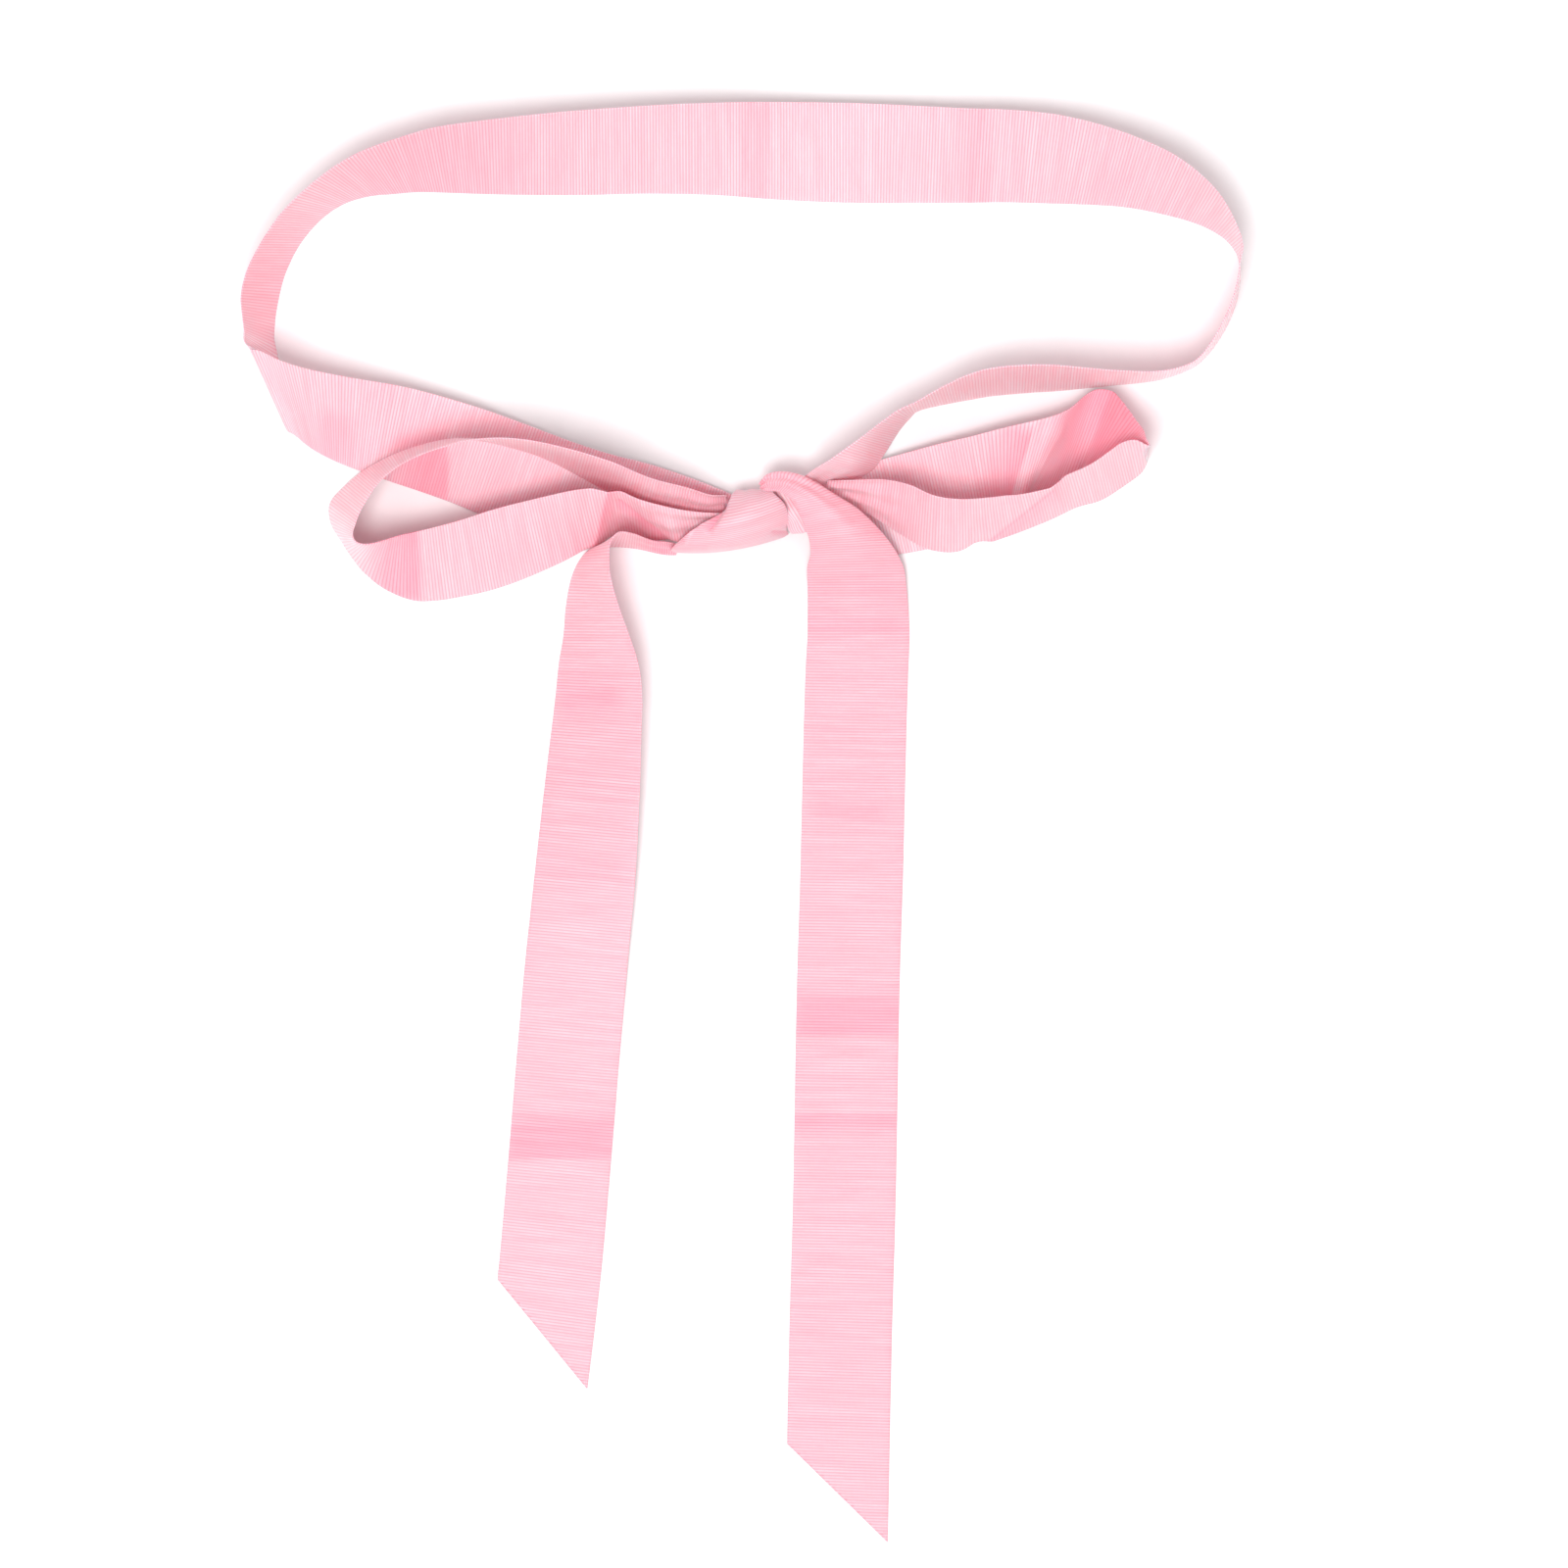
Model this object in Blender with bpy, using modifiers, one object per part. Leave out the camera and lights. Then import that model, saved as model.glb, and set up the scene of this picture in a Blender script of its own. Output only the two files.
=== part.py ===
"""Ribbon sash: one grosgrain ribbon tied in a waist loop and a bow, laid flat on a table.

Frame: +X runs right along the waist loop, +Y from the tails to the loop, +Z up from the table.
Tables are in millimetres and degrees, and the solids are in metres.
"""
import math

import bmesh
import bpy
from mathutils import Vector

# Driving sizes
MM = 0.001
RIBBON_WIDTH = 38.0         # a 1 1/2 inch ribbon
CLOTH = 1.0                 # wall of each stretch
SEAM_GAP = 0.3              # between one stretch and the next
KNOT_SIZE = (21.4, 11.5, 18.8)    # the turns hidden inside the knot
KNOT_PLACE = (4.2, 113.0, 10.1)
ORIGIN = (0.76, -0.37)      # middle of the whole sash on the table, in the tables' own x and y
LONG_STATION = 12.0         # length of ribbon between two sections where it runs straight
SHORT_STATION = 6.0         # the same where it bends
TWIST_STATION = 3.5         # and where it twists over in the right bow loop
STRIPS = 5                  # flat strips across the width
RIBBON_PINK = (0.92, 0.58, 0.68)    # linear colours: the ribbon,
CORE_PINK = (0.85, 0.42, 0.54)      # and the darker turns inside the knot

# A section is where a rib of the ribbon lies:
# x, y of its middle, heading from its first edge to its second, tilt of that line above the
# table (90 stands, more leans back over), lift of its lowest point, the angle it is bent by
# along the middle, and the share of the width left where the knot gathers it.
COLUMNS = ("x", "y", "across", "tilt", "lift", "fold", "gather")

WAIST_RIGHT = [
    (23.5, 124.2, 152, 46, 6.5, 0, 0.26),
    (28.6, 126.0, 156, 52, 7.5, 0, 0.42),
    (34.0, 128.4, 163, 58, 8.5, 0, 0.66),
    (40.3, 131.5, 170, 64, 9.5, 0, 0.95),
    (46.7, 137.3, 168, 71, 9.0, 0, 1.0),
    (54.5, 145.6, 174, 77, 4.0, 0, 1.0),
    (59.5, 150.1, 166, 81, 1.5, 0, 1.0),
    (64.1, 153.1, 136, 86, 0.3, 0, 1.0),
    (72.2, 156.5, 124, 83, 0.0, 0, 1.0),
    (84.3, 160.7, 104, 78, 0.0, 0, 1.0),
    (93.3, 162.7, 98, 76.5, 0.0, 0, 1.0),
    (107.1, 163.9, 90, 77, 0.0, 0, 1.0),
    (117.4, 164.1, 90, 78.5, 0.0, 0, 1.0),
    (126.3, 164.1, 90, 81, 0.0, 0, 1.0),
    (137.5, 164.2, 90, 84, 0.0, 0, 1.0),
    (154.2, 165.0, 98, 87, 0.0, 0, 1.0),
    (165.6, 168.3, 118, 88, 0.0, 0, 1.0),
    (171.0, 172.4, 140, 87, 0.0, 0, 1.0),
    (177.2, 181.2, 155, 86, 0.0, 0, 1.0),
    (182.0, 191.9, 166, 86, 0.0, 0, 1.0),
    (184.0, 201.0, 176, 87, 0.0, 0, 1.0),
    (184.3, 206.2, 180, 88, 0.0, 0, 1.0),
]

WAIST_BACK = [
    (184.3, 206.6, 0, 92, 0.0, 0, 1.0),
    (184.0, 212.0, 20, 88, 0.0, 0, 1.0),
    (180.0, 219.2, 44, 82, 0.0, 0, 1.0),
    (171.6, 227.6, 60, 71, 0.0, 0, 1.0),
    (158.2, 235.2, 68, 59, 0.0, 0, 1.0),
    (144.4, 240.0, 74, 51, 0.0, 0, 1.0),
    (128.3, 243.5, 78, 41, 0.0, 0, 1.0),
    (113.3, 245.6, 83, 33, 0.0, 0, 1.0),
    (97.9, 246.6, 86, 29, 0.0, 0, 1.0),
    (82.2, 246.8, 88, 26, 0.0, 0, 1.0),
    (64.5, 247.3, 88, 22, 0.0, 0, 1.0),
    (40.5, 248.0, 90, 18, 0.0, 0, 1.0),
    (16.2, 248.6, 90, 22, 0.0, 0, 1.0),
    (-7.8, 249.2, 90, 29, 0.0, 0, 1.0),
    (-32.2, 248.9, 90, 34, 0.0, 0, 1.0),
    (-56.7, 247.8, 90, 38, 0.0, 0, 1.0),
    (-77.1, 246.8, 89, 43, 0.0, 0, 1.0),
    (-93.1, 245.9, 91, 48, 0.0, 0, 1.0),
    (-111.2, 244.7, 99, 54, 0.0, 0, 1.0),
    (-123.4, 242.7, 110, 60, 0.0, 0, 1.0),
    (-134.2, 240.0, 126, 63, 0.0, 0, 1.0),
    (-143.8, 236.6, 144, 67, 0.0, 0, 1.0),
    (-153.7, 231.1, 164, 70, 0.0, 0, 1.0),
    (-162.5, 223.6, 182, 69, 0.0, 0, 1.0),
    (-170.0, 213.7, 188, 70.5, 0.0, 0, 1.0),
    (-175.2, 203.3, 186, 71, 0.0, 0, 1.0),
    (-177.6, 193.6, 182, 72, 0.0, 0, 1.0),
    (-178.0, 184.6, 172, 75, 0.0, 0, 1.0),
    (-177.6, 178.6, 158, 74, 0.0, 0, 1.0),
]

WAIST_LEFT = [
    (-177.5, 178.0, 156, 74, 0.0, 0, 1.0),
    (-175.8, 169.4, 132, 60, 2.4, 0, 1.0),
    (-172.4, 161.0, 116, 38, 8.4, 0, 1.0),
    (-173.9, 159.6, 114, 33, 12.6, 0, 1.0),
    (-170.8, 158.4, 111, 33, 14.6, 0, 1.0),
    (-165.0, 154.9, 105, 35, 10.6, 0, 1.0),
    (-157.5, 151.8, 97, 36, 5.4, 0, 1.0),
    (-145.4, 148.3, 86, 33, 1.6, 0, 1.0),
    (-125.8, 143.4, 76, 23, 0.2, 0, 1.0),
    (-104.0, 136.7, 72, 18, 0.0, 0, 1.0),
    (-88.4, 131.0, 70, 15, 0.0, 0, 1.0),
    (-70.2, 125.0, 70, 13, 0.0, 0, 0.95),
    (-54.6, 122.6, 70, 13, 0.0, 0, 0.81),
    (-38.8, 120.8, 71, 14, 0.0, 0, 0.62),
    (-23.1, 119.0, 71, 15, 0.4, 0, 0.44),
    (-9.4, 117.3, 72, 16, 0.6, 0, 0.29),
    (-4.4, 116.4, 72, 16, 0.6, 0, 0.25),
]

BOW_LEFT_BACK = [
    (-6.0, 117.4, 75, 46, 6.0, 0, 0.27),
    (-12.4, 117.8, 75, 56, 6.8, 0, 0.42),
    (-21.1, 119.8, 74, 65, 7.4, 0, 0.62),
    (-34.9, 123.2, 72, 71, 8.4, 0, 0.84),
    (-50.5, 129.0, 68, 76, 8.6, 0, 0.98),
    (-71.3, 136.6, 68, 83, 7.8, 0, 1.0),
    (-85.4, 139.9, 76, 87, 8.6, 0, 1.0),
    (-99.3, 141.0, 88, 92, 9.6, 0, 1.0),
    (-107.6, 140.0, 98, 95, 9.8, 0, 1.0),
    (-117.8, 137.2, 112, 97, 9.4, 0, 1.0),
    (-125.5, 134.2, 126, 99, 7.8, 0, 1.0),
    (-131.5, 130.9, 134, 101, 5.4, 0, 1.0),
    (-137.5, 126.6, 141, 104, 2.0, 0, 1.0),
    (-144.4, 118.6, 143, 109, 0.0, 0, 1.0),
    (-147.0, 113.8, 145, 111, 0.0, 0, 1.0),
]

BOW_LEFT_FRONT = [
    (-147.1, 113.4, 146, 111, 0.0, 0, 1.0),
    (-147.3, 109.0, 153, 107, 0.0, 0, 1.0),
    (-145.1, 104.3, 176, 100, 0.0, 0, 1.0),
    (-142.3, 101.2, 205, 100, 0.0, 0, 1.0),
    (-136.4, 98.0, 238, 109, 0.0, 0, 1.0),
    (-128.2, 95.5, 260, 122, 0.0, 0, 1.0),
    (-119.2, 94.6, 272, 131, 0.0, 0, 1.0),
    (-101.4, 98.0, 278, 135, 0.0, 0, 1.0),
    (-87.7, 102.1, 280, 136, 0.0, 0, 1.0),
    (-70.4, 107.9, 282, 130, 0.6, 0, 1.0),
    (-55.5, 113.2, 282, 121, 1.5, 0, 1.0),
    (-45.5, 114.8, 280, 118, 3.0, 0, 0.90),
    (-34.9, 111.8, 280, 121, 4.5, 0, 0.72),
    (-24.0, 110.0, 282, 126, 6.0, 0, 0.54),
    (-15.0, 110.4, 282, 124, 7.0, 0, 0.36),
]

BOW_RIGHT_BACK = [
    (28.0, 114.6, 104, 6, 0.0, 0, 0.50),
    (38.0, 114.8, 104, 7, 0.0, 0, 0.74),
    (48.0, 115.6, 104, 9, 0.0, 0, 0.90),
    (56.0, 117.0, 103, 10, 0.0, 0, 0.95),
    (76.0, 121.8, 102, 14, 0.0, 0, 1.0),
    (92.0, 126.2, 98, 20, 0.6, 0, 1.0),
    (105.5, 131.2, 76, 18, 4.5, 0, 1.0),
    (112.4, 136.3, 63, 20, 3.6, 0, 1.0),
    (124.3, 142.4, 70, 14, 2.0, 0, 1.0),
    (130.6, 142.6, 69, 17, 1.0, 0, 1.0),
    (133.2, 140.6, 62, 29, 0.6, 0, 1.0),
    (136.8, 137.4, 51, 42, 0.2, 0, 1.0),
    (141.2, 135.8, 38, 55, 0.0, 0, 1.0),
    (144.6, 135.6, 24, 68, 0.0, 0, 1.0),
    (147.2, 135.4, 4, 81, 0.0, 0, 1.0),
]

BOW_RIGHT_FRONT = [
    (148.2, 134.0, -4, 87, 0.0, 0, 1.0),
    (147.0, 132.6, -28, 100, 0.0, 0, 1.0),
    (143.2, 131.8, -52, 108, 0.0, 0, 1.0),
    (136.0, 128.8, -66, 111, 0.0, 0, 1.0),
    (130.6, 126.2, -70, 111, 0.0, 0, 1.0),
    (122.9, 122.5, -68, 108, 0.0, 0, 1.0),
    (112.7, 118.4, -69, 108, 0.0, 0, 1.0),
    (101.4, 114.9, -74, 108, 0.0, 0, 1.0),
    (89.3, 112.4, -84, 111, 0.0, 0, 1.0),
    (80.2, 109.8, -88, 119, 0.0, 0, 1.0),
    (70.2, 110.9, -92, 121, 1.5, 0, 0.98),
    (61.4, 115.1, -95, 124, 4.5, 0, 0.86),
    (51.3, 119.3, -96, 129, 8.0, 0, 0.60),
    (40.7, 121.7, -97, 131, 9.0, 0, 0.37),
    (31.5, 122.6, -98, 132, 9.0, 0, 0.26),
]

KNOT_WRAP = [
    (4.6, 123.0, 3, 2, 9.0, -40, 0.34),
    (3.9, 122.0, 6, 2, 15.0, -44, 0.38),
    (3.5, 118.5, 13, 2, 18.6, -52, 0.52),
    (2.2, 112.7, 13, 2, 18.4, -56, 0.80),
    (-1.0, 108.4, 10, 1, 15.0, -50, 1.05),
    (-3.6, 104.2, 9, 1, 9.0, -36, 1.08),
    (-4.0, 102.4, 8, 0, 2.5, -24, 1.06),
]

KNOT_TUCK = [
    (14.8, 114.1, 121, 2, 11.2, -24, 0.40),
    (17.8, 115.9, 121, 2, 15.0, -24, 0.48),
    (20.8, 117.3, 121, 2, 15.2, -24, 0.50),
]

TAIL_LEFT = [
    (-24.0, 101.0, 90, 60, 0.0, 0, 0.20),
    (-32.0, 102.0, 84, 78, 0.0, 0, 0.52),
    (-40.0, 104.0, 76, 82, 0.0, 0, 0.86),
    (-46.5, 104.4, 48, 81, 0.0, 0, 1.0),
    (-51.5, 102.2, 12, 78, 0.0, 0, 1.0),
    (-53.9, 97.4, 0, 73, 0.0, 0, 1.0),
    (-55.1, 90.5, -4, 67, 0.0, 0, 1.0),
    (-54.7, 79.6, -2, 58, 0.0, 0, 1.0),
    (-53.3, 68.7, -1, 49, 0.0, 0, 1.0),
    (-52.5, 57.8, -2, 38, 0.0, 0, 1.0),
    (-52.5, 46.9, -3, 32, 0.0, 0, 1.0),
    (-53.3, 36.0, -4, 29, 0.0, 0, 1.0),
    (-54.9, 14.2, -5, 22, 0.0, 0, 1.0),
    (-57.6, -18.5, -5, 11, 0.0, 0, 1.0),
    (-60.9, -51.3, -5, 4, 0.0, 0, 1.0),
    (-63.8, -84.0, -5, 0, 0.0, 0, 1.0),
    (-66.5, -116.7, -5, 0, 0.0, 0, 1.0),
    (-69.3, -149.4, -6, 0, 0.0, 0, 1.0),
    (-71.4, -171.3, -7, 0, 0.0, 0, 1.0),
    (-77.6, -222.0, -8, 0, 0.0, 0, 1.0),
]

TAIL_RIGHT = [
    (12.8, 125.6, 66, 16, 19.4, -30, 0.20),
    (17.2, 124.4, 48, 6, 21.8, -50, 0.30),
    (24.9, 120.2, 16, -4, 22.0, -60, 0.46),
    (32.0, 113.8, 9, -8, 18.0, -70, 0.68),
    (37.6, 106.4, 4, -8, 13.0, -70, 0.86),
    (40.7, 100.2, 2, -6, 9.0, -62, 0.94),
    (42.4, 94.2, 1, -3, 6.0, -50, 1.0),
    (43.1, 86.9, 0, 0, 3.0, -40, 1.0),
    (43.5, 77.8, 0, 0, 0.6, -28, 1.0),
    (43.6, 68.7, 0, 0, 0.0, -14, 1.0),
    (43.1, 57.8, -1, 0, 0.0, -4, 1.0),
    (42.4, 36.0, -1, 0, 0.0, 0, 1.0),
    (41.1, -18.5, -1, 0, 0.0, 0, 1.0),
    (39.8, -62.2, -1, 0, 0.0, 0, 1.0),
    (38.4, -138.5, -1, 0, 0.0, 0, 1.0),
    (37.0, -190.0, -2, 0, 0.0, 0, 1.0),
    (35.2, -280.0, -2, 0, 0.0, 0, 1.0),
]

CUT_LEFT = ((-89.8, -170.2), (-57.1, -210.2))
CUT_RIGHT = ((16.0, -229.4), (54.2, -266.9))


def clear_scene():
    for old in list(bpy.data.objects):
        bpy.data.objects.remove(old, do_unlink=True)


def cloth_material(name, colour):
    material = bpy.data.materials.new(name)
    material.use_nodes = True
    shader = material.node_tree.nodes["Principled BSDF"]
    shader.inputs["Base Color"].default_value = (*colour, 1.0)
    shader.inputs["Roughness"].default_value = 0.55
    return material


def route_lengths(rows):
    """How far along the ribbon each section lies, by the way of its middle."""
    lengths = [0.0]
    for one, two in zip(rows, rows[1:]):
        step = math.dist(middle_of(one), middle_of(two))
        lengths.append(lengths[-1] + max(step, 1.0))
    return lengths


def middle_of(row):
    first, second = section_line(dict(zip(COLUMNS, row)), 2)[::2]
    return [(a + b) / 2 for a, b in zip(first, second)]


def value_at(lengths, values, where):
    """Smooth value between the sections, level where the values turn."""
    last = len(values) - 1
    index = 0
    while index < last - 1 and where > lengths[index + 1]:
        index += 1
    span = lengths[index + 1] - lengths[index]
    share = (where - lengths[index]) / span

    def slope(i):
        before, after = max(i - 1, 0), min(i + 1, last)
        return (values[after] - values[before]) / (lengths[after] - lengths[before])

    start, end = values[index], values[index + 1]
    rise, fall = slope(index) * span, slope(index + 1) * span
    cube, square = share ** 3, share ** 2
    return ((2 * cube - 3 * square + 1) * start + (cube - 2 * square + share) * rise
            + (3 * square - 2 * cube) * end + (cube - square) * fall)


def section_line(row, strips):
    """Points across the ribbon in one section, bent along its middle by the fold."""
    heading = math.radians(row["across"])
    strip_width = RIBBON_WIDTH * row["gather"] / strips
    out, up = [0.0], [0.0]
    for strip in range(strips):
        side = (strip + 0.5) / strips - 0.5
        turn = row["fold"] * max(-0.5, min(0.5, side / 0.5))
        angle = math.radians(row["tilt"] + turn)
        out.append(out[-1] + math.cos(angle) * strip_width)
        up.append(up[-1] + math.sin(angle) * strip_width)
    centre, floor = (out[0] + out[-1]) / 2, min(up)
    half_wall = CLOTH / 2
    return [(row["x"] - ORIGIN[0] + (o - centre) * math.cos(heading),
             row["y"] - ORIGIN[1] + (o - centre) * math.sin(heading),
             row["lift"] + half_wall + u - floor) for o, u in zip(out, up)]


def ribbon_surface(rows, station, strips=STRIPS):
    """Open surface through the sections: a row of points for each station along the ribbon."""
    lengths = route_lengths(rows)
    total = lengths[-1]
    count = max(2, math.ceil(total / station))
    columns = list(zip(*rows))
    surface = bmesh.new()
    before = None
    for step in range(count + 1):
        where = SEAM_GAP / 2 + (total - SEAM_GAP) * step / count
        row = {name: value_at(lengths, values, where) for name, values in zip(COLUMNS, columns)}
        row["lift"] = max(row["lift"], 0.0)
        line = [surface.verts.new(Vector(point) * MM) for point in section_line(row, strips)]
        if before:
            for strip in range(strips):
                surface.faces.new((before[strip], line[strip], line[strip + 1], before[strip + 1]))
        before = line
    return surface


def cut_end(surface, cut):
    """Slant end: what lies past a line on the table is cut off."""
    start, end = [Vector((x - ORIGIN[0], y - ORIGIN[1], 0.0)) for x, y in cut]
    beyond = (end - start).cross(Vector((0.0, 0.0, 1.0)))
    if beyond.y > 0:
        beyond.negate()
    geometry = surface.verts[:] + surface.edges[:] + surface.faces[:]
    bmesh.ops.bisect_plane(surface, geom=geometry, plane_co=start * MM,
                           plane_no=beyond, clear_outer=True)


def add_object(name, mesh, colour, collection):
    data = bpy.data.meshes.new(name)
    mesh.to_mesh(data)
    mesh.free()
    data.materials.append(cloth_material(name + "_cloth", colour))
    made = bpy.data.objects.new(name, data)
    collection.objects.link(made)
    return made


def add_stretch(name, rows, station, collection, cut=None):
    """One stretch of ribbon: its surface, made a wall of even thickness."""
    surface = ribbon_surface(rows, station)
    if cut:
        cut_end(surface, cut)
    stretch = add_object(name, surface, RIBBON_PINK, collection)
    wall = stretch.modifiers.new("cloth", "SOLIDIFY")
    wall.thickness = CLOTH * MM
    wall.offset = 0.0
    return stretch


def add_knot_core(collection):
    """The turns hidden inside the knot, as one rounded solid."""
    ball = bmesh.new()
    bmesh.ops.create_uvsphere(ball, u_segments=16, v_segments=10, radius=0.5)
    bmesh.ops.scale(ball, verts=ball.verts[:], vec=Vector(KNOT_SIZE) * MM)
    core = add_object("knot_core", ball, CORE_PINK, collection)
    x, y, z = KNOT_PLACE
    core.location = Vector((x - ORIGIN[0], y - ORIGIN[1], z)) * MM
    return core


def build():
    clear_scene()
    collection = bpy.data.collections.new("ribbon_sash")
    bpy.context.scene.collection.children.link(collection)
    stretches = [
        ("waist_right", WAIST_RIGHT, SHORT_STATION, None),
        ("waist_back", WAIST_BACK, LONG_STATION, None),
        ("waist_left", WAIST_LEFT, SHORT_STATION, None),
        ("bow_left_back", BOW_LEFT_BACK, SHORT_STATION, None),
        ("bow_left_front", BOW_LEFT_FRONT, SHORT_STATION, None),
        ("bow_right_back", BOW_RIGHT_BACK, TWIST_STATION, None),
        ("bow_right_front", BOW_RIGHT_FRONT, SHORT_STATION, None),
        ("knot_wrap", KNOT_WRAP, SHORT_STATION, None),
        ("knot_tuck", KNOT_TUCK, SHORT_STATION, None),
        ("tail_left", TAIL_LEFT, LONG_STATION, CUT_LEFT),
        ("tail_right", TAIL_RIGHT, LONG_STATION, CUT_RIGHT),
    ]
    for name, rows, station, cut in stretches:
        add_stretch(name, rows, station, collection, cut)
    add_knot_core(collection)


build()
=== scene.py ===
# %% [markdown]
# # A grosgrain ribbon sash, tied in a bow and laid flat
# The sash is one long ribbon, 38 mm wide: a waist loop, a bow with two loops, a small knot and
# two tails with slanted ends. The imported model gives its solids. This lesson dresses them with
# the real cloth: a thin ribbon with cross ribs, woven edges, press marks and a soft sheen, with
# some shade painted into its colour.
# Lengths in the tables are in millimetres, angles in degrees, and the scene is in metres.

# %% The imported model
import math

import bmesh
import bpy
import numpy as np
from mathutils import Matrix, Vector


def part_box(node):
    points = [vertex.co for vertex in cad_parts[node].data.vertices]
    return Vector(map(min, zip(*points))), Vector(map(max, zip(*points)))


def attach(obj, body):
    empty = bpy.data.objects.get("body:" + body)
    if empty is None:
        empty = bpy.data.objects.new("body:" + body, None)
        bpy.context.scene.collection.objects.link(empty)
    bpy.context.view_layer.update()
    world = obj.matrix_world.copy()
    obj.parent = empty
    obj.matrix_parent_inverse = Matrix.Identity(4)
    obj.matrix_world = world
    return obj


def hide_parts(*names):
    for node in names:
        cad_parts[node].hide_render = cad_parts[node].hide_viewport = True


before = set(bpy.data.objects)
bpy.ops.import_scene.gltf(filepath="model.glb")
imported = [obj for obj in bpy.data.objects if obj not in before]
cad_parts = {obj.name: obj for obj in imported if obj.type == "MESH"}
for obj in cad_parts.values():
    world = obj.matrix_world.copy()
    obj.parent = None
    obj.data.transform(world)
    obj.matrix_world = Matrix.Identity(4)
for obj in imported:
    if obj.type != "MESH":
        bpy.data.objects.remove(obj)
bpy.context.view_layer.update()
print("solids:", sorted(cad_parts))

# %% [markdown]
# The ribbon's facts come first. Grosgrain has thick weft cords that run from edge to edge, so it
# is ribbed across. On this width about 23 ribs lie in an inch, so one rib is 1.1 mm. The cloth is
# near 0.4 mm thick. The solids are walls of 1 mm, so the thin ribbon keeps their middle surface
# and comes down a little, to rest on the table itself.

# %% Facts of the ribbon
MM = 0.001
RIBBON_WIDTH = 38.0
CLOTH = 0.4
RIB_PITCH = 1.1             # from one rib to the next, along the ribbon
RIB_HEIGHT = 0.2
POINTS_PER_RIB = 3
SELVEDGE = 1.0              # flat woven edge, without ribs
ORIGIN = (0.76, -0.37)      # the sash's middle, in the tables' own x and y
COLUMNS = ("x", "y", "across", "tilt", "lift", "fold", "gather")

# %% [markdown]
# A ribbon keeps its width and bends only along its length, so each rib stays a nearly straight
# line. That is why a table of ribs is the best way to describe it. A row says where one rib lies:
# the x and y of its middle, its heading on the table, its tilt above the table (90 stands on
# edge), the lift of its lowest point, the angle it is folded by along its middle, and the share
# of its width that is left where the knot gathers it. Other ribs are found between the rows.

# %% The waist loop: right side, back and left side
WAIST_RIGHT = [
    (12.5, 119.6, 150, 50, 5.0, 0, 0.24),
    (18.0, 122.0, 151, 58, 6.0, 0, 0.33),
    (23.5, 124.2, 152, 46, 6.5, 0, 0.26),
    (28.6, 126.0, 156, 52, 7.5, 0, 0.42),
    (34.0, 128.4, 163, 58, 8.5, 0, 0.66),
    (40.3, 131.5, 170, 64, 9.5, 0, 0.95),
    (46.7, 137.3, 168, 71, 9.0, 0, 1.0),
    (54.5, 145.6, 174, 77, 4.0, 0, 1.0),
    (59.5, 150.1, 166, 81, 1.5, 0, 1.0),
    (64.1, 153.1, 136, 86, 0.3, 0, 1.0),
    (72.2, 156.5, 124, 83, 0.0, 0, 1.0),
    (84.3, 160.7, 104, 78, 0.0, 0, 1.0),
    (93.3, 162.7, 98, 76.5, 0.0, 0, 1.0),
    (107.1, 163.9, 90, 77, 0.0, 0, 1.0),
    (117.4, 164.1, 90, 78.5, 0.0, 0, 1.0),
    (126.3, 164.1, 90, 81, 0.0, 0, 1.0),
    (137.5, 164.2, 90, 84, 0.0, 0, 1.0),
    (154.2, 165.0, 98, 87, 0.0, 0, 1.0),
    (165.6, 168.3, 118, 88, 0.0, 0, 1.0),
    (171.0, 172.4, 140, 87, 0.0, 0, 1.0),
    (177.2, 181.2, 155, 86, 0.0, 0, 1.0),
    (182.0, 191.9, 166, 86, 0.0, 0, 1.0),
    (184.0, 201.0, 176, 87, 0.0, 0, 1.0),
    (184.3, 206.2, 180, 88, 0.0, 0, 1.0),
]

WAIST_BACK = [
    (184.0, 212.0, 20, 88, 0.0, 0, 1.0),
    (180.0, 219.2, 44, 82, 0.0, 0, 1.0),
    (171.6, 227.6, 60, 71, 0.0, 0, 1.0),
    (158.2, 235.2, 68, 59, 0.0, 0, 1.0),
    (144.4, 240.0, 74, 51, 0.0, 0, 1.0),
    (128.3, 243.5, 78, 41, 0.0, 0, 1.0),
    (113.3, 245.6, 83, 33, 0.0, 0, 1.0),
    (97.9, 246.6, 86, 29, 0.0, 0, 1.0),
    (82.2, 246.8, 88, 26, 0.0, 0, 1.0),
    (64.5, 247.3, 88, 22, 0.0, 0, 1.0),
    (40.5, 248.0, 90, 18, 0.0, 0, 1.0),
    (16.2, 248.6, 90, 22, 0.0, 0, 1.0),
    (-7.8, 249.2, 90, 29, 0.0, 0, 1.0),
    (-32.2, 248.9, 90, 34, 0.0, 0, 1.0),
    (-56.7, 247.8, 90, 38, 0.0, 0, 1.0),
    (-77.1, 246.8, 89, 43, 0.0, 0, 1.0),
    (-93.1, 245.9, 91, 48, 0.0, 0, 1.0),
    (-111.2, 244.7, 99, 54, 0.0, 0, 1.0),
    (-123.4, 242.7, 110, 60, 0.0, 0, 1.0),
    (-134.2, 240.0, 126, 63, 0.0, 0, 1.0),
    (-143.8, 236.6, 144, 67, 0.0, 0, 1.0),
    (-153.7, 231.1, 164, 70, 0.0, 0, 1.0),
    (-162.5, 223.6, 182, 69, 0.0, 0, 1.0),
    (-170.0, 213.7, 188, 70.5, 0.0, 0, 1.0),
    (-175.2, 203.3, 186, 71, 0.0, 0, 1.0),
    (-177.6, 193.6, 182, 72, 0.0, 0, 1.0),
    (-178.0, 184.6, 172, 75, 0.0, 0, 1.0),
    (-177.6, 178.6, 158, 74, 0.0, 0, 1.0),
]

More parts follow.
